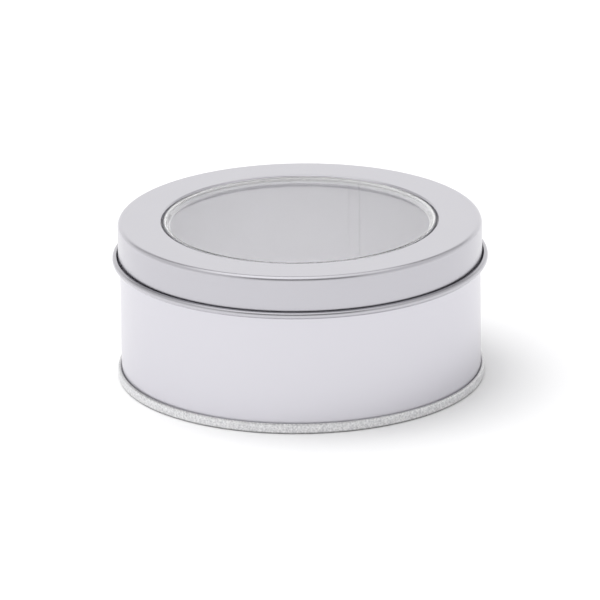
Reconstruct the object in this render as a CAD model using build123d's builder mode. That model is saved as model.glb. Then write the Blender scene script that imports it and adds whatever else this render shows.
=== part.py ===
from build123d import *
from math import cos, radians, sin
import os

# A round tin with a slip lid and a clear window in the lid. It stands on Z = 0 and Z is its axis.
# Each sheet piece is drawn as the middle line of its tinplate, walked from one raw edge to the
# other, then given the plate's thickness and revolved about the axis. All sizes are in millimetres.

os.makedirs("parts", exist_ok=True)

# The tin as a whole
height = 40.0
lid_diameter = 90.0  # over the skirt
plate = 0.25  # thickness of the tinplate
lid_slip_gap = 0.15  # from the skirt's inside to the body's outside, all round
lid_rest_gap = 0.1  # from the body's mouth to the underside of the lid

# Lid
lid_depth = 10.35  # from the top of the lid to the lowest point of its curl
lid_shoulder_radius = 1.2  # outside
lid_curl_diameter = 1.7  # outside
lid_curl_turn = 280  # degrees that the edge is rolled through, round a false wire
lid_ring_width = 10.8  # from the skirt's outside to the opening for the window
lip_depth = 1.0  # from the top of the lid to the lip's raw edge
lip_radius = 0.5  # outside

# Window pane: clear sheet with a raised rim that fills the opening
pane_thickness = 0.4
pane_lap = 1.8  # how far its flange reaches behind the lip
pane_rim_gap = 0.35  # between the lip and the rim
pane_rim_drop = 0.05  # from the top of the lid to the crest of the rim
pane_recess = 1.3  # from the top of the lid to the pane's flat face
pane_flange_bend_radius = 0.3  # this and the next two are to the middle of the sheet
pane_crest_radius = 0.35
pane_foot_radius = 0.4  # where the rim's inner slope meets the flat
pane_slope_angle = 60  # degrees from the flat

# Ring that carries the pane
pane_edge_gap = 0.4  # from the pane's edge to the ring's wall
ring_bore_setback = 0.2  # how far the ring's bore stands back behind the lip
ring_bend_radius = 0.3  # to the middle of the plate
ring_mouth_gap = 0.3  # from the ring's flange to the curl of the body's mouth

# Body
mouth_curl_diameter = 1.3  # outside
mouth_curl_turn = 300  # degrees
side_seam_width = 3.0
side_seam_layers = 4  # thicknesses of plate in the folded lock seam
side_seam_azimuth = 71.8  # degrees from +X, near the back of the tin
side_seam_bend_radius = 0.35  # outside of the seam's folded edges
side_seam_mouth_gap = 1.0  # from the seam's upper end to the mouth's curl
side_seam_base_gap = 0.3  # from the seam's lower end to the base panel
side_seam_groove_width = 0.3  # the line where the plate dives into the seam, seen from outside
side_seam_groove_depth = 0.12

# Base and the double seam that joins it to the body
foot_seam_height = 2.6
foot_seam_play = 0.05  # between neighbouring layers
foot_bend_radius = 0.5  # outside, where the seam turns on the table
foot_hook_gap = 0.1  # from each hook's tip to the spring of the turn above or below it
base_recess = 2.0  # from the table to the underside of the panel
panel_bend_radius = 0.5  # to the middle of the plate
panel_rim_width = 6.175  # from the countersink wall to the expansion step
panel_step_radius = 1.0  # of both bends of the step, to the middle of the plate
panel_step_turn = 40  # degrees

# Worked out from the sizes above
half_plate = plate / 2
lid_radius = lid_diameter / 2
window_radius = lid_radius - lid_ring_width
pane_radius = window_radius + pane_lap
half_pane = pane_thickness / 2
body_middle_radius = lid_radius - plate - lid_slip_gap - half_plate
body_bore_radius = body_middle_radius - half_plate

lid_curl_level = height - lid_depth + lid_curl_diameter / 2
pane_rim_radius = window_radius - pane_rim_gap - half_pane
pane_flange_level = height - lip_depth - half_pane
pane_crest_level = height - pane_rim_drop - half_pane - pane_crest_radius
pane_flat_level = height - pane_recess - half_pane
pane_foot_level = pane_flat_level + pane_foot_radius * (1 - cos(radians(pane_slope_angle)))

ledge_level = pane_flange_level - half_pane - half_plate
flange_level = height - plate - half_plate
ring_wall_radius = pane_radius + pane_edge_gap + half_plate

mouth_level = height - plate - lid_rest_gap
mouth_curl_level = mouth_level - mouth_curl_diameter / 2
mouth_radius = body_bore_radius + plate - mouth_curl_diameter

# The double seam's layers lie one pitch apart, outwards from the base's countersink wall
layer_pitch = plate + foot_seam_play
countersink_radius = body_middle_radius - layer_pitch
base_hook_radius = body_middle_radius + layer_pitch
body_hook_radius = body_middle_radius + 2 * layer_pitch
foot_outer_radius = body_middle_radius + 3 * layer_pitch
body_turn_level = plate + foot_seam_play + layer_pitch + half_plate
base_turn_level = foot_seam_height - layer_pitch - half_plate


# Lid: lip round the window, flat ring, shoulder, skirt and the curl that hides the raw edge
with BuildPart() as lid_shell:
    with BuildSketch(Plane.XZ):
        with BuildLine():
            lip = Line(
                (window_radius + half_plate, height - lip_depth),
                (window_radius + half_plate, height - lip_radius),
            )
            lip_bend = JernArc(lip @ 1, (0, 1), lip_radius - half_plate, -90)
            flat_ring = Line(lip_bend @ 1, (lid_radius - lid_shoulder_radius, height - half_plate))
            shoulder = JernArc(flat_ring @ 1, (1, 0), lid_shoulder_radius - half_plate, -90)
            skirt = Line(shoulder @ 1, (lid_radius - half_plate, lid_curl_level))
            JernArc(skirt @ 1, (0, -1), lid_curl_diameter / 2 - half_plate, lid_curl_turn)
        trace(line_width=plate)
    revolve(axis=Axis.Z)
lid_shell.part.label = "lid_shell"
export_step(lid_shell.part, "parts/lid_shell.step")


# Pane: flange behind the lip, wall and crest of the raised rim, slope down to the flat, and the flat
with BuildPart() as window_pane:
    with BuildSketch(Plane.XZ):
        with BuildLine():
            pane_flange = Line(
                (pane_radius, pane_flange_level),
                (pane_rim_radius + pane_flange_bend_radius, pane_flange_level),
            )
            pane_bend = JernArc(pane_flange @ 1, (-1, 0), pane_flange_bend_radius, -90)
            rim_wall = Line(pane_bend @ 1, (pane_rim_radius, pane_crest_level))
            crest = JernArc(rim_wall @ 1, (0, 1), pane_crest_radius, 90 + pane_slope_angle)
            slope_length = ((crest @ 1).Y - pane_foot_level) / sin(radians(pane_slope_angle))
            slope = Line(crest @ 1, (crest @ 1) + (crest % 1) * slope_length)
            rim_foot = JernArc(slope @ 1, slope % 1, pane_foot_radius, -pane_slope_angle)
            Line(rim_foot @ 1, (0, pane_flat_level))
        trace(line_width=pane_thickness)
    revolve(axis=Axis.Z)
window_pane.part.label = "window_pane"
export_step(window_pane.part, "parts/window_pane.step")


# Retaining ring: a ledge under the pane's flange, a wall round it and a flange fixed under the lid
with BuildPart() as window_retaining_ring:
    with BuildSketch(Plane.XZ):
        with BuildLine():
            ledge = Line(
                (window_radius + ring_bore_setback, ledge_level),
                (ring_wall_radius - ring_bend_radius, ledge_level),
            )
            ledge_bend = JernArc(ledge @ 1, (1, 0), ring_bend_radius, 90)
            ring_wall = Line(ledge_bend @ 1, (ring_wall_radius, flange_level - ring_bend_radius))
            flange_bend = JernArc(ring_wall @ 1, (0, 1), ring_bend_radius, -90)
            Line(flange_bend @ 1, (mouth_radius - ring_mouth_gap, flange_level))
        trace(line_width=plate)
    revolve(axis=Axis.Z)
window_retaining_ring.part.label = "window_retaining_ring"
export_step(window_retaining_ring.part, "parts/window_retaining_ring.step")


# Body: hook of the double seam, straight wall and the inward curl of the mouth
with BuildPart() as body_shell:
    with BuildSketch(Plane.XZ):
        with BuildLine():
            hook = Line(
                (body_hook_radius, base_turn_level - foot_hook_gap),
                (body_hook_radius, body_turn_level),
            )
            hook_turn = JernArc(hook @ 1, (0, -1), layer_pitch, -180)
            body_wall = Line(hook_turn @ 1, (body_middle_radius, mouth_curl_level))
            JernArc(body_wall @ 1, (0, 1), mouth_curl_diameter / 2 - half_plate, mouth_curl_turn)
        trace(line_width=plate)
    revolve(axis=Axis.Z)

    # The lock seam's folded layers stand inside the wall, from above the base to below the mouth
    seam_foot = base_recess + plate + side_seam_base_gap
    seam_length = mouth_level - mouth_curl_diameter - side_seam_mouth_gap - seam_foot
    seam_inner_radius = body_bore_radius + plate - side_seam_layers * plate
    seam_depth = body_middle_radius - seam_inner_radius
    with BuildSketch(Plane.XY.offset(seam_foot)) as seam_plan:
        with PolarLocations(seam_inner_radius + seam_depth / 2, 1, start_angle=side_seam_azimuth):
            Rectangle(seam_depth, side_seam_width)
        fillet(seam_plan.vertices().sort_by_distance((0, 0))[:2], radius=side_seam_bend_radius)
    extrude(amount=seam_length)

    # Outside, the seam shows as one fine groove where the plate turns in
    with BuildSketch(Plane.XY.offset(seam_foot)):
        with PolarLocations(body_bore_radius + plate, 1, start_angle=side_seam_azimuth):
            with Locations((0, side_seam_width / 2 - side_seam_bend_radius)):
                Rectangle(2 * side_seam_groove_depth, side_seam_groove_width)
    extrude(amount=seam_length, mode=Mode.SUBTRACT)
body_shell.part.label = "body_shell"
export_step(body_shell.part, "parts/body_shell.step")


# Base: hook, top turn and outer wall of the double seam, foot, countersink wall and stepped panel
with BuildPart() as bottom_end:
    with BuildSketch(Plane.XZ):
        with BuildLine():
            base_hook = Line(
                (base_hook_radius, body_turn_level + foot_hook_gap),
                (base_hook_radius, base_turn_level),
            )
            top_turn = JernArc(base_hook @ 1, (0, 1), layer_pitch, -180)
            foot_wall = Line(top_turn @ 1, (foot_outer_radius, foot_bend_radius))
            outer_bend = JernArc(foot_wall @ 1, (0, -1), foot_bend_radius - half_plate, -90)
            foot = Line(
                outer_bend @ 1,
                (countersink_radius + foot_bend_radius - half_plate, half_plate),
            )
            inner_bend = JernArc(foot @ 1, (-1, 0), foot_bend_radius - half_plate, -90)
            countersink = Line(
                inner_bend @ 1,
                (countersink_radius, base_recess + half_plate - panel_bend_radius),
            )
            panel_bend = JernArc(countersink @ 1, (0, 1), panel_bend_radius, 90)
            outer_panel = Line(panel_bend @ 1, (countersink_radius - panel_rim_width, base_recess + half_plate))
            step_up = JernArc(outer_panel @ 1, (-1, 0), panel_step_radius, -panel_step_turn)
            step_level = JernArc(step_up @ 1, step_up % 1, panel_step_radius, panel_step_turn)
            Line(step_level @ 1, (0, (step_level @ 1).Y))
        trace(line_width=plate)
    revolve(axis=Axis.Z)
bottom_end.part.label = "bottom_end"
export_step(bottom_end.part, "parts/bottom_end.step")
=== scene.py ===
# %% [markdown]
# # A window lid tin
# A round storage tin of thin steel sheet coated with tin, with a slip lid and a clear window in the
# lid. Five pieces make it: the lid, the window pane, the ring that carries the pane, the body and the
# base. Each is pressed or rolled from one sheet. A CAD model gives their places and sizes. This
# lesson models them again with Blender's own tools, gives each its finish, and lights them.

# %% Load the fixed frame
from math import ceil, copysign, cos, pi, radians, sin
import bpy
from mathutils import Matrix, Vector


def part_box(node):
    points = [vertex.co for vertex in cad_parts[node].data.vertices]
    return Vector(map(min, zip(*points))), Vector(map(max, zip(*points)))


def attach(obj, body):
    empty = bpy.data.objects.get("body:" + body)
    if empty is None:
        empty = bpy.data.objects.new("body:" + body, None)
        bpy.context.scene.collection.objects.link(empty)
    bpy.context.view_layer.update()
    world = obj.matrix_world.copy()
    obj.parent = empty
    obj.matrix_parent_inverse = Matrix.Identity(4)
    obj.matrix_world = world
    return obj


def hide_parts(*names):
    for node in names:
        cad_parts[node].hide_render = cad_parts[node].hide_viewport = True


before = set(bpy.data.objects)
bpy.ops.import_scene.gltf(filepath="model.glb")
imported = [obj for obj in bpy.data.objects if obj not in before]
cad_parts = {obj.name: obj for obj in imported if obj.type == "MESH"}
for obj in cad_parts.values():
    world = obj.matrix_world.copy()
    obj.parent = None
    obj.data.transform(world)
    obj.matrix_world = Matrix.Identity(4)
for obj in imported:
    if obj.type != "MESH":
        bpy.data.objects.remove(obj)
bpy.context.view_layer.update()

mm = 0.001  # the scene is in metres and the sizes below are in millimetres

# %% [markdown]
# ## A sheet drawn as a line
# Sheet metal keeps its thickness wherever it is bent. So a piece can be drawn as the line that runs
# through the middle of the sheet, and Solidify gives it the thickness at the end. Drawing both
# surfaces by hand would take twice the points and let the thickness drift in the bends.
#
# The line starts as a tiny plane whose corners are merged into one point. Extrude carries the point
# on in straight runs, and Spin carries it round the bends. Near each end of a straight run there is
# an extra point. It holds the flat faces flat when the shading is smoothed, because a smoothed normal
# is an average of the faces that meet at a point.

# %% Pick what an operator acts on
def select_nothing():
    bpy.ops.object.select_all(action="DESELECT")


def pick(piece):
    """Selects one piece alone and makes it the active one."""
    select_nothing()
    piece.select_set(True)
    bpy.context.view_layer.objects.active = piece


# %% Walk a sheet's middle line
seed_size = 0.1 * mm  # of the plane that is merged into the line's first point
hold_distance = 0.12 * mm  # from a bend to the extra point that holds the flat beside it
bend_step = 9.0  # degrees of a bend for each new point


class SheetLine:
    """A line in the plane of X and Z, in edit mode. Heading 0 is outwards and 90 is up."""

    def __init__(self, name, radius, level, heading):
        select_nothing()
        bpy.ops.mesh.primitive_plane_add(size=seed_size, location=(radius, 0, level))
        self.piece = bpy.context.object
        self.piece.name = self.piece.data.name = name
        bpy.ops.object.transform_apply(location=True, rotation=False, scale=False)
        bpy.ops.object.mode_set(mode="EDIT")
        bpy.ops.mesh.select_mode(type="VERT")
        bpy.ops.mesh.merge(type="CENTER")
        self.place = Vector((radius, 0, level))
        self.heading = radians(heading)

    def run(self, length):
        hold = min(hold_distance, length / 3)
        for part in (hold, length - 2 * hold, hold):
            step = Vector((cos(self.heading), 0, sin(self.heading))) * part
            bpy.ops.mesh.extrude_region_move(TRANSFORM_OT_translate={"value": step})
            self.place += step

    def bend(self, radius, turn):
        """A positive turn is to the left, seen with X to the right and Z up."""
        left = Vector((-sin(self.heading), 0, cos(self.heading)))
        centre = self.place + left * copysign(radius, turn)
        steps = ceil(abs(turn) / bend_step)
        bpy.ops.mesh.spin(steps=steps, angle=radians(turn), center=centre, axis=(0, 1, 0))
        self.place = centre + Matrix.Rotation(-radians(turn), 3, "Y") @ (self.place - centre)
        self.heading += radians(turn)


print("a quarter bend is drawn with", ceil(90 / bend_step), "steps")

# %% [markdown]
# The finished line is spun once round the tin's axis. The ends of the spin meet, and a line that
# reaches the axis makes a pole there, so doubles are merged. Spin can turn a shape inside out, so the
# normals are put right before the sheet gets its thickness.

# %% Turn a line into a sheet
turn_steps = 288  # round the tin's axis
merge_distance = 0.002 * mm
crisp_angle = 40.0  # degrees: raw edges stay sharp, bends are smoothed


def spin_round_axis(line):
    bpy.ops.mesh.select_all(action="SELECT")
    bpy.ops.mesh.spin(steps=turn_steps, angle=2 * pi, center=(0, 0, 0), axis=(0, 0, 1))
    bpy.ops.mesh.select_all(action="SELECT")
    bpy.ops.mesh.remove_doubles(threshold=merge_distance)
    bpy.ops.mesh.normals_make_consistent(inside=False)
    bpy.ops.object.mode_set(mode="OBJECT")
    return line.piece


def thicken(piece, thickness):
    pick(piece)
    solidify = piece.modifiers.new("Sheet", "SOLIDIFY")
    solidify.thickness = thickness
    solidify.offset = 0
    solidify.use_even_offset = True
    bpy.ops.object.modifier_apply(modifier=solidify.name)


def smooth(piece):
    pick(piece)
    bpy.ops.object.shade_smooth_by_angle(angle=radians(crisp_angle))
    print(piece.name, "has", sum(len(p.vertices) - 2 for p in piece.data.polygons), "triangles")


# %% [markdown]
# ## The lid
# The lid is drawn from one disc. Its opening is cut out and the edge turned down to a short lip. A
# flat ring, a rounded shoulder and a straight skirt follow. The skirt's edge is rolled outwards
# round a wire of its own plate, so that nobody is cut by it and the lid can be gripped. A bevelled
# cylinder could give the shoulder, but not the lip and the rolled edge, so the whole section is
# walked as one line.

# %% Sizes that the pieces share
plate = 0.25 * mm
half_plate = plate / 2
lid_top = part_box("lid_shell")[1].z
lid_radius = 45.0 * mm  # over the skirt
opening_radius = 34.2 * mm
lip_depth = 1.0 * mm
print("top of the lid at", round(lid_top / mm, 2), "mm")

# %% The lid, from the lip to the curl
lip_radius = 0.5 * mm
shoulder_radius = 1.2 * mm
lid_depth = 10.35 * mm
lid_curl_radius = 0.85 * mm
lid_curl_turn = 280  # degrees

line = SheetLine("tin_lid", opening_radius + half_plate, lid_top - lip_depth, 90)
line.run(lip_depth - lip_radius)
line.bend(lip_radius - half_plate, -90)
line.run(lid_radius - shoulder_radius - opening_radius - lip_radius)
line.bend(shoulder_radius - half_plate, -90)
line.run(lid_depth - lid_curl_radius - shoulder_radius)
line.bend(lid_curl_radius - half_plate, lid_curl_turn)
lid = spin_round_axis(line)
thicken(lid, plate)
smooth(lid)
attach(lid, "lid")
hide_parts("lid_shell")

# %% [markdown]
# ## The window pane
# The pane is clear plastic, formed with a raised rim. Its flange lies behind the lip, the rim fills
# the opening up to the lid's level, and a slope leads down to the flat. A plain disc would be quicker,
# but the rim is what catches the light in two fine lines round the window. A dark gap is left
# between the rim and the lip.

# %% Levels and radii of the pane
pane_thickness = 0.4 * mm
half_pane = pane_thickness / 2
pane_lap = 1.8 * mm
pane_rim_gap = 0.35 * mm
pane_rim_drop = 0.05 * mm
pane_recess = 1.3 * mm
pane_flange_bend = 0.3 * mm
pane_crest_radius = 0.35 * mm
pane_foot_radius = 0.4 * mm
pane_slope = 60  # degrees

pane_radius = opening_radius + pane_lap
rim_radius = opening_radius - pane_rim_gap - half_pane
flange_level = lid_top - lip_depth - half_pane
crest_level = lid_top - pane_rim_drop - half_pane - pane_crest_radius
flat_level = lid_top - pane_recess - half_pane
foot_level = flat_level + pane_foot_radius * (1 - cos(radians(pane_slope)))
print("the pane is", round(2 * pane_radius / mm, 2), "mm across its flange")

# %% The pane, from its flange to its middle
line = SheetLine("clear_window", pane_radius, flange_level, 180)
line.run(pane_radius - rim_radius - pane_flange_bend)
line.bend(pane_flange_bend, -90)
line.run(crest_level - flange_level - pane_flange_bend)
line.bend(pane_crest_radius, 90 + pane_slope)
line.run((line.place.z - foot_level) / sin(radians(pane_slope)))
line.bend(pane_foot_radius, -pane_slope)
line.run(line.place.x)
pane = spin_round_axis(line)
thicken(pane, pane_thickness)
smooth(pane)
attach(pane, "lid")
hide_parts("window_pane")

# %% [markdown]
# ## The ring that carries the pane
# Under the lid a ring of Z section holds the pane's flange up against the lip. Its own flange is
# fixed flat under the lid. It shows only when the lid is off and turned over. Two flat rings and a
# tube could be joined for it, but a real one is pressed from one sheet with soft bends, so it is
# walked too.

# %% The retaining ring
ring_edge_gap = 0.4 * mm
ring_setback = 0.2 * mm
ring_bend = 0.3 * mm
ring_outer_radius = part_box("window_retaining_ring")[1].x

ledge_level = flange_level - half_pane - half_plate
ring_flange_level = lid_top - plate - half_plate
ring_wall_radius = pane_radius + ring_edge_gap + half_plate

line = SheetLine("window_ring", opening_radius + ring_setback, ledge_level, 0)
line.run(ring_wall_radius - ring_bend - opening_radius - ring_setback)
line.bend(ring_bend, 90)
line.run(ring_flange_level - ledge_level - 2 * ring_bend)
line.bend(ring_bend, -90)
line.run(ring_outer_radius - ring_wall_radius - ring_bend)
ring = spin_round_axis(line)
thicken(ring, plate)
smooth(ring)
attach(ring, "lid")
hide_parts("window_retaining_ring")

# %% [markdown]
# ## The body
# The body is a strip rolled into a tube. Its foot is hooked outwards into the base's seam, and its
# mouth is curled inwards, so that the lid slides on over a smooth edge. A plain tube would do for the
# wall, but its cut edges would show at the mouth when the lid is off. The two ends of the strip are
# folded into each other and pressed flat. That lock seam is modelled after the tube has its
# thickness, because it belongs to the inside of the wall.

# %% Levels of the body and of the double seam
lid_slip_gap = 0.15 * mm
seam_play = 0.05 * mm  # between the layers of the double seam
foot_seam_height = 2.6 * mm
foot_hook_gap = 0.1 * mm
mouth_curl_radius = 0.65 * mm
mouth_curl_turn = 300  # degrees

wall_radius = lid_radius - plate - lid_slip_gap - half_plate
layer_pitch = plate + seam_play
body_turn_level = plate + seam_play + layer_pitch + half_plate
base_turn_level = foot_seam_height - layer_pitch - half_plate
body_hook_radius = wall_radius + 2 * layer_pitch
base_hook_radius = wall_radius + layer_pitch  # it lies inside the body's hook
mouth_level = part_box("body_shell")[1].z
print("the body stands up to", round(mouth_level / mm, 2), "mm")

# %% The body's tube, from the hook to the mouth
line = SheetLine("tin_body", body_hook_radius, base_turn_level - foot_hook_gap, -90)
line.run(base_turn_level - foot_hook_gap - body_turn_level)
line.bend(layer_pitch, -180)
line.run(mouth_level - mouth_curl_radius - body_turn_level)
line.bend(mouth_curl_radius - half_plate, mouth_curl_turn)
body = spin_round_axis(line)
thicken(body, plate)

# %% [markdown]
# ## The lock seam
# The lock seam stands inside the wall as a strip three plates deep, and outside it leaves one fine
# groove where the plate turns in. Both are cut the same way: Bisect draws their edges onto the wall,
# the faces between are chosen by their place, and Extrude pushes them towards the axis. A strip laid
# on the wall as a piece of its own would show a joint that the folded plate doesn't have.

# %% Where the seam stands
seam_azimuth = radians(71.8)  # from +X
seam_width = 3.0 * mm
seam_depth = 3 * plate
seam_bend = 0.35 * mm
seam_foot = 2.55 * mm
seam_top = 37.35 * mm
groove_width = 0.3 * mm
groove_depth = 0.12 * mm
groove_offset = 1.15 * mm  # from the seam's centre

outwards = Vector((cos(seam_azimuth), sin(seam_azimuth), 0))
sideways = Vector((-sin(seam_azimuth), cos(seam_azimuth), 0))
print("the seam is", round((seam_top - seam_foot) / mm, 2), "mm long")

# %% Choose faces of the wall
outside, inside = 1, -1  # the two sides of the wall
upright_limit = 0.05  # the normal of an upright face points up or down by less than this
facing_limit = 0.5  # the normal of a face on the asked side points that way by more than this


def near_seam(place, half_width, centre):
    """True for a place on the wall within half_width of an upright line beside the seam's middle."""
    return abs(place.dot(sideways) - centre) < half_width and place.dot(outwards) > 0


def choose_wall(piece, test):
    """Selects the faces that pass the test. The piece is left in edit mode."""
    bpy.ops.object.mode_set(mode="EDIT")
    bpy.ops.mesh.select_all(action="DESELECT")
    bpy.ops.object.mode_set(mode="OBJECT")
    for face in piece.data.polygons:
        face.select = test(face)
    bpy.ops.object.mode_set(mode="EDIT")
    bpy.ops.mesh.select_mode(type="FACE")


# %% Press a strip of the wall inwards
cut_margin = 3 * mm  # the cuts run this far past the strip, through whole faces


def press_strip(piece, side, centre, half_width, depth):
    """Cuts a strip into one side of the wall and pushes it towards the axis."""
    def on_side(face, reach):
        upright = abs(face.normal.z) < upright_limit
        facing = side * face.normal.dot(outwards) > facing_limit
        in_seam = seam_foot < face.center.z < seam_top
        in_wall = abs(face.center.xy.length - wall_radius) < plate
        return upright and facing and in_seam and in_wall and near_seam(face.center, reach, centre)

    cuts = [
        (outwards * wall_radius + sideways * (centre - half_width), sideways),
        (outwards * wall_radius + sideways * (centre + half_width), sideways),
        (Vector((0, 0, seam_foot)), Vector((0, 0, 1))),
        (Vector((0, 0, seam_top)), Vector((0, 0, 1))),
    ]
    for place, normal in cuts:
        choose_wall(piece, lambda face: on_side(face, half_width + cut_margin))
        bpy.ops.mesh.bisect(plane_co=place, plane_no=normal, use_fill=False)
        bpy.ops.object.mode_set(mode="OBJECT")
    choose_wall(piece, lambda face: on_side(face, half_width))
    print("a strip is pressed from", piece.data.total_face_sel, "faces")
    bpy.ops.mesh.extrude_region_move(TRANSFORM_OT_translate={"value": -outwards * depth})
    bpy.ops.object.mode_set(mode="OBJECT")


# %% Round the strip's long edges
edge_play = 0.02 * mm  # how far an edge's ends may lie from the strip's side
round_segments = 5


def round_strip(piece, half_width, radius):
    """Rounds the long edges of the strip that stands inside the wall."""
    bpy.ops.object.mode_set(mode="EDIT")
    bpy.ops.mesh.select_mode(type="EDGE")
    bpy.ops.mesh.select_all(action="DESELECT")
    bpy.ops.object.mode_set(mode="OBJECT")
    points = piece.data.vertices
    for edge in piece.data.edges:
        ends = [points[i].co for i in edge.vertices]
        upright = abs(ends[0].z - ends[1].z) > (seam_top - seam_foot) / 2
        at_side = all(abs(abs(end.dot(sideways)) - half_width) < edge_play for end in ends)
        deep = all(0 < end.dot(outwards) < wall_radius - seam_depth for end in ends)
        edge.select = upright and at_side and deep
    print("edges to round:", sum(edge.select for edge in piece.data.edges))
    bpy.ops.object.mode_set(mode="EDIT")
    bpy.ops.mesh.bevel(offset=radius, segments=round_segments)
    bpy.ops.object.mode_set(mode="OBJECT")


# %% The side seam and its groove
pick(body)
press_strip(body, inside, 0.0, seam_width / 2, seam_depth)
round_strip(body, seam_width / 2, seam_bend)
press_strip(body, outside, groove_offset, groove_width / 2, groove_depth)
smooth(body)
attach(body, "tin")
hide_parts("body_shell")

# %% [markdown]
# ## The base
# The base is pressed from a disc. Its edge is folded over the body's foot in a double seam, which
# the tin stands on. The panel lies higher, with a small step that lets it spring. A disc with inset
# rings could give the panel, but the folds of the seam turn back under themselves, which only a
# line can follow.

# %% The base, from the hidden hook to the middle of the panel
foot_bend = 0.5 * mm
base_recess = 2.0 * mm
panel_bend = 0.5 * mm
panel_rim_width = 6.175 * mm
panel_step_radius = 1.0 * mm
panel_step_turn = 40  # degrees

countersink_radius = wall_radius - layer_pitch
countersink_top = base_recess + half_plate - panel_bend
foot_width = 4 * layer_pitch  # from the countersink's wall to the seam's outer wall

line = SheetLine("tin_base", base_hook_radius, body_turn_level + foot_hook_gap, 90)
line.run(base_turn_level - body_turn_level - foot_hook_gap)
line.bend(layer_pitch, -180)
line.run(base_turn_level - foot_bend)
line.bend(foot_bend - half_plate, -90)
line.run(foot_width - 2 * (foot_bend - half_plate))
line.bend(foot_bend - half_plate, -90)
line.run(countersink_top - foot_bend)
line.bend(panel_bend, 90)
line.run(panel_rim_width - panel_bend)
line.bend(panel_step_radius, -panel_step_turn)
line.bend(panel_step_radius, panel_step_turn)
line.run(line.place.x)
base = spin_round_axis(line)
thicken(base, plate)
smooth(base)
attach(base, "tin")
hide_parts("bottom_end")

# %% [markdown]
# ## Finishes
# Tinplate is steel with a skin of tin, rolled to a satin. It mirrors its surroundings softly. Its
# colours are set as metal colours, which tint what the metal mirrors: a grey paint would stay the
# same from every side. Every finish starts from the same few helpers.

# %% Start a material
def new_material(name):
    material = bpy.data.materials.new(name)
    material.use_nodes = True
    tree = material.node_tree
    return material, tree, tree.nodes["Principled BSDF"]


# %% Patterns on a surface
noise_range = (0.3, 0.7)  # where most values of a noise lie


def noise(tree, size, detail):
    """A noise whose features are about size metres across."""
    place = tree.nodes.new("ShaderNodeTexCoord")
    texture = tree.nodes.new("ShaderNodeTexNoise")
    texture.inputs["Scale"].default_value = 1 / size
    texture.inputs["Detail"].default_value = detail
    tree.links.new(place.outputs["Object"], texture.inputs["Vector"])
    return texture.outputs["Fac"]


def spread(tree, value, low, high, start, end):
    """Is low up to where the value reaches start, high from where it reaches end, and fades between."""
    fade = tree.nodes.new("ShaderNodeMapRange")
    fade.inputs["From Min"].default_value = start
    fade.inputs["From Max"].default_value = end
    fade.inputs["To Min"].default_value = low
    fade.inputs["To Max"].default_value = high
    tree.links.new(value, fade.inputs["Value"])
    return fade.outputs["Result"]


def bump(tree, value, height):
    node = tree.nodes.new("ShaderNodeBump")
    node.inputs["Strength"].default_value = 1.0
    node.inputs["Distance"].default_value = height
    tree.links.new(value, node.inputs["Height"])
    return node.outputs["Normal"]


# %% Shades that follow the height
def by_height(tree, low, high, start, end):
    """Is low below the level start, high above the level end, and fades between."""
    place = tree.nodes.new("ShaderNodeTexCoord")
    parts = tree.nodes.new("ShaderNodeSeparateXYZ")
    tree.links.new(place.outputs["Object"], parts.inputs["Vector"])
    return spread(tree, parts.outputs["Z"], low, high, start, end)


def darken(tree, colour, amount):
    """Multiplies a colour, which is three numbers or a node's output, by amount."""
    node = tree.nodes.new("ShaderNodeVectorMath")
    node.operation = "SCALE"
    if isinstance(colour, tuple):
        node.inputs[0].default_value = colour
    else:
        tree.links.new(colour, node.inputs[0])
    tree.links.new(amount, node.inputs["Scale"])
    return node.outputs["Vector"]


# %% [markdown]
# The body and the lid have nearly the same satin. The inside is paler and mirrors less. On the
# lid the gloss drifts a little over the sheet, as a noise does best. On the tall wall the same drift
# would show as curly lines, so its gloss is one number.

# %% Satin tinplate of the body
full_metal = 1.0
body_colour = (0.63, 0.62, 0.66)
body_roughness = 0.28
inside_colour = (0.90, 0.89, 0.93)
inside_roughness = 0.33
inside_metal = 0.6


def satin_tinplate(name, colour, roughness, metal):
    material, tree, shader = new_material(name)
    shader.inputs["Base Color"].default_value = (*colour, 1)
    shader.inputs["Metallic"].default_value = metal
    shader.inputs["Roughness"].default_value = roughness
    return material, tree, shader


body_satin, *_ = satin_tinplate("body_tinplate", body_colour, body_roughness, full_metal)
inside_satin, *_ = satin_tinplate("inside_tinplate", inside_colour, inside_roughness, inside_metal)
print("made", body_satin.name, "and", inside_satin.name)

# %% Satin tinplate of the lid
lid_colour = (0.64, 0.63, 0.67)
lid_roughness = 0.26
gloss_drift = 0.02  # up and down from the lid's roughness
drift_size = 12 * mm
drift_detail = 1
painted_skirt_shade = 0.81  # painted shade: the skirt is drawn a little darker than the top

lid_satin, tree, shader = satin_tinplate("lid_tinplate", lid_colour, lid_roughness, full_metal)
# painted shade: the lid's colour darkens from the shoulder down over the skirt
shade = by_height(tree, painted_skirt_shade, 1, lid_top - shoulder_radius, lid_top - plate)
tree.links.new(darken(tree, lid_colour, shade), shader.inputs["Base Color"])
drift = noise(tree, drift_size, drift_detail)
gloss = spread(tree, drift, lid_roughness - gloss_drift, lid_roughness + gloss_drift, 0, 1)
tree.links.new(gloss, shader.inputs["Roughness"])
print("made", lid_satin.name)

# %% [markdown]
# The base is left raw: it is speckled and rougher to the touch. At its very foot a painted shadow
# darkens it where it stands on the table. An image of such a plate would have to be laid round the
# seam. A noise in the object's own coordinates needs no laying out, and goes round corners by itself.

# %% Raw tinplate of the base
speckle_size = 0.5 * mm
speckle_detail = 3
dark_speckle = (0.55, 0.55, 0.56, 1)
light_speckle = (0.86, 0.86, 0.86, 1)
speckle_roughness = (0.30, 0.48)
speckle_height = 0.01 * mm
painted_foot_shadow = 0.4  # painted contact shadow, where the foot stands on the table
foot_shadow_levels = (0.1 * mm, 0.6 * mm)

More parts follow.
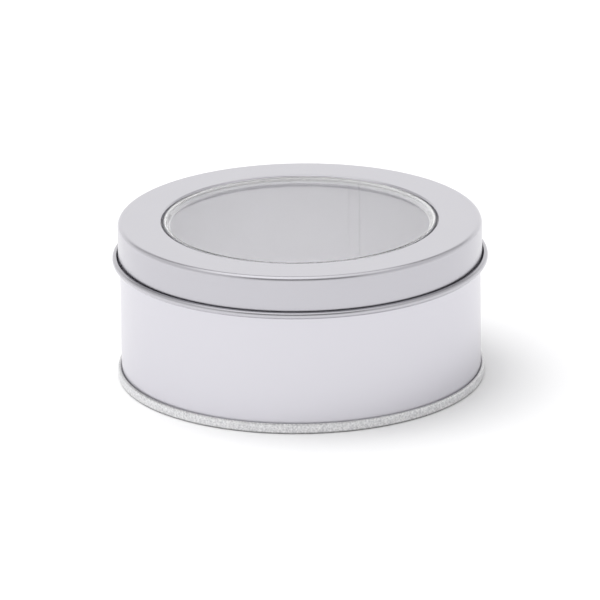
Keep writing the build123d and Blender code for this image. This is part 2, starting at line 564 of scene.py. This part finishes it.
raw, tree, shader = new_material("raw_tinplate")
shader.inputs["Metallic"].default_value = full_metal
speckle = noise(tree, speckle_size, speckle_detail)
speckled = tree.nodes.new("ShaderNodeMix")
speckled.data_type = "RGBA"
speckled.inputs["A"].default_value = dark_speckle
speckled.inputs["B"].default_value = light_speckle
tree.links.new(spread(tree, speckle, 0, 1, *noise_range), speckled.inputs["Factor"])
# painted contact shadow: the speckled colour darkens towards the very foot
foot_shadowed = darken(tree, speckled.outputs["Result"], by_height(tree, painted_foot_shadow, 1, *foot_shadow_levels))
tree.links.new(foot_shadowed, shader.inputs["Base Color"])
tree.links.new(spread(tree, speckle, *speckle_roughness, *noise_range), shader.inputs["Roughness"])
tree.links.new(bump(tree, speckle, speckle_height), shader.inputs["Normal"])
print("made", raw.name, "with specks of", round(speckle_size / mm, 2), "mm")

# %% [markdown]
# The pane is clear plastic. Rays that look for a lamp pass straight through it, because otherwise
# the inside of the tin would lie in a shadow that a real thin pane doesn't cast. Down the rim's slope
# a slight haze paints the pale band of reflected light that shows there, and over the crest a
# stronger haze paints a white highlight line. The outside of the rim's wall and the flange lie in the
# gap behind the lip, where no light gets out again, and a grey tint paints that shade on them. A haze
# on the wall's inside paints a sheen there too.

# %% Clear pane
plastic_roughness = 0.04
plastic_ior = 1.49
untinted = (1, 1, 1)
# painted shade: a grey tint on the rim's outside stands in for the shade of the gap behind the lip
gap_shade_tint = (0.30, 0.30, 0.32)
# the haze of these two paints light: a pale reflection down the rim's slope, a highlight over the crest
slope_clearness = 0.82
crest_clearness = 0.73


def clear_sheet(name, colour, clearness):
    material, tree, shader = new_material(name)
    shader.inputs["Base Color"].default_value = (*colour, 1)
    shader.inputs["Roughness"].default_value = plastic_roughness
    shader.inputs["IOR"].default_value = plastic_ior
    shader.inputs["Transmission Weight"].default_value = clearness
    ray = tree.nodes.new("ShaderNodeLightPath")
    passing = tree.nodes.new("ShaderNodeBsdfTransparent")
    either = tree.nodes.new("ShaderNodeMixShader")
    tree.links.new(ray.outputs["Is Shadow Ray"], either.inputs["Fac"])
    tree.links.new(shader.outputs["BSDF"], either.inputs[1])
    tree.links.new(passing.outputs["BSDF"], either.inputs[2])
    tree.links.new(either.outputs["Shader"], tree.nodes["Material Output"].inputs["Surface"])
    print("made", material.name, "with clearness", clearness)
    return material


clear = clear_sheet("clear_plastic", untinted, 1.0)
# painted reflection: a slight haze stands in for the pale band down the rim's slope
painted_sheen = clear_sheet("sheen_plastic", untinted, slope_clearness)
# painted highlight: a stronger haze stands in for the white line over the crest
painted_highlight = clear_sheet("highlight_plastic", untinted, crest_clearness)
# painted shade: the grey tint darkens the rim's outside and the flange
painted_gap_shade = clear_sheet("painted_gap_shade_plastic", gap_shade_tint, 1.0)

# %% [markdown]
# ## Give each piece its finish
# A piece can hold several materials, and each of its faces names one of them. So the inside of the
# tin, the base's panel and the parts of the pane's rim get their own finish by the place of their
# faces, with no cut in the sheet.

# %% Choose a finish by place
def finish_piece(piece, *finishes):
    piece.data.materials.clear()
    for finish in finishes:
        piece.data.materials.append(finish)
    print(piece.name, "is finished in", [finish.name for finish in finishes])


def choose_finish(piece, finish, test):
    """Gives the finish to the faces whose middle and normal pass the test."""
    index = piece.data.materials.find(finish.name)
    for face in piece.data.polygons:
        if test(face.center, face.normal):
            face.material_index = index


# %% Finish the metal pieces
mouth_curl_foot = mouth_level - 2 * mouth_curl_radius
upward = 0.3  # the faces of the panel that look into the tin point up by more than this

finish_piece(lid, lid_satin)
finish_piece(ring, lid_satin)
finish_piece(body, body_satin, inside_satin)
choose_finish(body, inside_satin,
              lambda place, normal: place.xy.length < wall_radius and place.z < mouth_curl_foot)
finish_piece(base, raw, inside_satin)
choose_finish(base, inside_satin,
              lambda place, normal: normal.z > upward and place.z > base_recess
              and place.xy.length < countersink_radius)

# %% Finish the pane
slope_end = rim_radius - 1.90 * mm  # these three are measured inwards from the rim's wall
slope_start = rim_radius - 0.60 * mm
crest_start = rim_radius - 0.25 * mm
inward = 0.5  # the wall's inner faces point at the axis by more than this

finish_piece(pane, clear, painted_sheen, painted_highlight, painted_gap_shade)
choose_finish(pane, painted_sheen,
              lambda place, normal: slope_end < place.xy.length < slope_start)
choose_finish(pane, painted_highlight,
              lambda place, normal: slope_start < place.xy.length < crest_start)
# painted shade on the outside of the rim's wall and on the flange
choose_finish(pane, painted_gap_shade,
              lambda place, normal: place.xy.length > crest_start)
# painted sheen: a haze lightens the inside of the rim's wall
choose_finish(pane, painted_sheen,
              lambda place, normal: place.xy.length > crest_start
              and place.xy.dot(normal.xy) < -inward * place.xy.length)

# %% [markdown]
# ## The studio
# The tin stands on a wide sheet of white paper. One soft lamp hangs almost overhead, a little to the
# left and behind, and lays the soft shadow at the front and right. A low lamp would draw that shadow
# out far too long.

# %% Floor
floor_size = 6.0  # metres
paper_colour = (0.96, 0.96, 0.965, 1)
paper_roughness = 0.9
paper_sheen = 0.1  # specular level

select_nothing()
bpy.ops.mesh.primitive_plane_add(size=floor_size, location=(0, 0, 0))
floor = bpy.context.object
floor.name = "floor"
paper, tree, shader = new_material("white_paper")
shader.inputs["Base Color"].default_value = paper_colour
shader.inputs["Roughness"].default_value = paper_roughness
shader.inputs["Specular IOR Level"].default_value = paper_sheen
floor.data.materials.append(paper)
print("the floor is", floor_size, "metres wide")

# %% [markdown]
# The lamp is hidden from the rays that metal mirrors and from those that go through the pane. Its
# mirror image would burn a white patch into the lid's top and the tin's inside, and what they
# should mirror is drawn in the world below.

# %% Lamp
lamp_size = 0.8  # metres, each way
lamp_energy = 4.5  # watts
lamp_place = Vector((-0.34, 0.16, 1.15))

lamp_data = bpy.data.lights.new("softbox", "AREA")
lamp_data.shape = "RECTANGLE"
lamp_data.size = lamp_size
lamp_data.size_y = lamp_size
lamp_data.energy = lamp_energy
softbox = bpy.data.objects.new("softbox", lamp_data)
bpy.context.scene.collection.objects.link(softbox)
softbox.location = lamp_place
softbox.rotation_euler = (-lamp_place).to_track_quat("-Z", "Y").to_euler()
softbox.visible_glossy = False
softbox.visible_transmission = False
print("the lamp hangs", round(lamp_place.length, 2), "metres from the tin")

# %% [markdown]
# ## The room
# Metal looks like metal by what it mirrors. White boards and lamps could be set up for it, but each
# would throw its own light and shadow, so the room is drawn in the world: a white backdrop, a
# ceiling light, white panels beside the camera, and dark gaps between them. The gaps draw the fine
# dark lines along the lid's shoulder and its curl. The paper gets plain light that is stronger from
# the left, and the inside of the tin an even one.

# %% Brightness of the room
left_fill = 1.42  # for light that falls on the paper
right_fill = 0.58
inside_strength = 1.28  # for light that enters through the pane
seen_white = 1.0  # of the background, as the camera sees it
wall_brightness = 1.0  # of the white backdrop, as the metal mirrors it
gap_brightness = 0.22  # round the camera, and between the backdrop and the side panels
panel_brightness = 0.74  # of the white panels at both sides of the camera
ceiling_brightness = 1.0
hot_spot_brightness = 0.3  # added to the ceiling's
print("light falls on the paper at", left_fill, "from the left and", right_fill, "from the right")

# %% Where the parts of the room begin and end
# X is to the right, Y to the back and Z up, each from -1 to 1 as a part of the direction.
backdrop_top = (0.28, 0.44)  # Z where the backdrop fades into the gap above it
backdrop_middle = (0.60, 0.85)  # Y where it reaches up again, straight behind the tin
panel_edge = (0.35, 0.60)  # X to either side where the side panels begin
panel_back = (0.50, 0.75)  # Y where they end
ceiling_edge = (0.74, 0.86)  # Z
hot_spot_edge = (0.86, 0.95)  # cosine of the angle to the middle of the hot spot
hot_spot_direction = Vector((-0.30, -0.05, 1)).normalized()

# %% Start the world
world = bpy.data.worlds.new("studio")
bpy.context.scene.world = world
world.use_nodes = True
room = world.node_tree
room.nodes.clear()
ray = room.nodes.new("ShaderNodeLightPath")


def background(strength):
    node = room.nodes.new("ShaderNodeBackground")
    node.inputs["Color"].default_value = (1, 1, 1, 1)
    node.inputs["Strength"].default_value = strength
    return node


def combine(operation, *values):
    node = room.nodes.new("ShaderNodeMath")
    node.operation = operation
    for value, socket in zip(values, node.inputs):
        room.links.new(value, socket)
    return node.outputs["Value"]


def for_rays(kind, seen, otherwise):
    """Rays of one kind meet the first background, and all others meet the second."""
    node = room.nodes.new("ShaderNodeMixShader")
    room.links.new(ray.outputs[kind], node.inputs["Fac"])
    room.links.new(otherwise, node.inputs[1])
    room.links.new(seen, node.inputs[2])
    return node.outputs["Shader"]


# %% What the metal mirrors
direction = room.nodes.new("ShaderNodeTexCoord").outputs["Generated"]
parts = room.nodes.new("ShaderNodeSeparateXYZ")
room.links.new(direction, parts.inputs["Vector"])
right, back, up = (parts.outputs[name] for name in "XYZ")

above_backdrop = spread(room, up, 0, 1, *backdrop_top)
beside_middle = spread(room, back, 1, 0, *backdrop_middle)
gap = combine("MULTIPLY", above_backdrop, beside_middle)
walls = spread(room, gap, wall_brightness, gap_brightness, 0, 1)
aside = spread(room, combine("ABSOLUTE", right), 0, panel_brightness, *panel_edge)
panels = combine("MULTIPLY", aside, spread(room, back, 1, 0, *panel_back))
ceiling = spread(room, up, 0, ceiling_brightness, *ceiling_edge)
towards_spot = room.nodes.new("ShaderNodeVectorMath")
towards_spot.operation = "DOT_PRODUCT"
towards_spot.inputs[1].default_value = hot_spot_direction
room.links.new(direction, towards_spot.inputs[0])
hot_spot = spread(room, towards_spot.outputs["Value"], 0, hot_spot_brightness, *hot_spot_edge)
brightest = combine("MAXIMUM", combine("MAXIMUM", walls, panels), ceiling)
mirrored = background(wall_brightness)
room.links.new(combine("ADD", brightest, hot_spot), mirrored.inputs["Strength"])

# %% What each kind of ray meets
fill = background(left_fill)
room.links.new(spread(room, right, left_fill, right_fill, -1, 1), fill.inputs["Strength"])
plain = for_rays("Is Camera Ray", background(seen_white).outputs[0], fill.outputs[0])
glossy = for_rays("Is Glossy Ray", mirrored.outputs[0], plain)
entering = for_rays("Is Transmission Ray", background(inside_strength).outputs[0], glossy)
world_output = room.nodes.new("ShaderNodeOutputWorld")
room.links.new(entering, world_output.inputs["Surface"])
print("the room is drawn with", len(room.nodes), "nodes")

# %% [markdown]
# ## The camera
# A long lens from far away keeps the tin's ellipses nearly parallel, as in a product picture. A
# short lens close by would open the lid's ellipse wider than the foot's.

# %% Camera
camera_lens = 410.7  # millimetres, on Blender's own sensor of 36
camera_distance = 1.696  # metres
camera_elevation = radians(19.166)
camera_roll = radians(0.719)
aim = Vector((-0.166 * mm, 0, 18.683 * mm))
camera_data = bpy.data.cameras.new("camera")
camera_data.lens = camera_lens
camera = bpy.data.objects.new("camera", camera_data)
bpy.context.scene.collection.objects.link(camera)
camera.location = aim + Vector((0, -cos(camera_elevation), sin(camera_elevation))) * camera_distance
camera.rotation_mode = "ZYX"
camera.rotation_euler = (pi / 2 - camera_elevation, 0, -camera_roll)
bpy.context.scene.camera = camera
bpy.context.scene.view_settings.view_transform = "Standard"
print("the camera stands", camera_distance, "metres away")
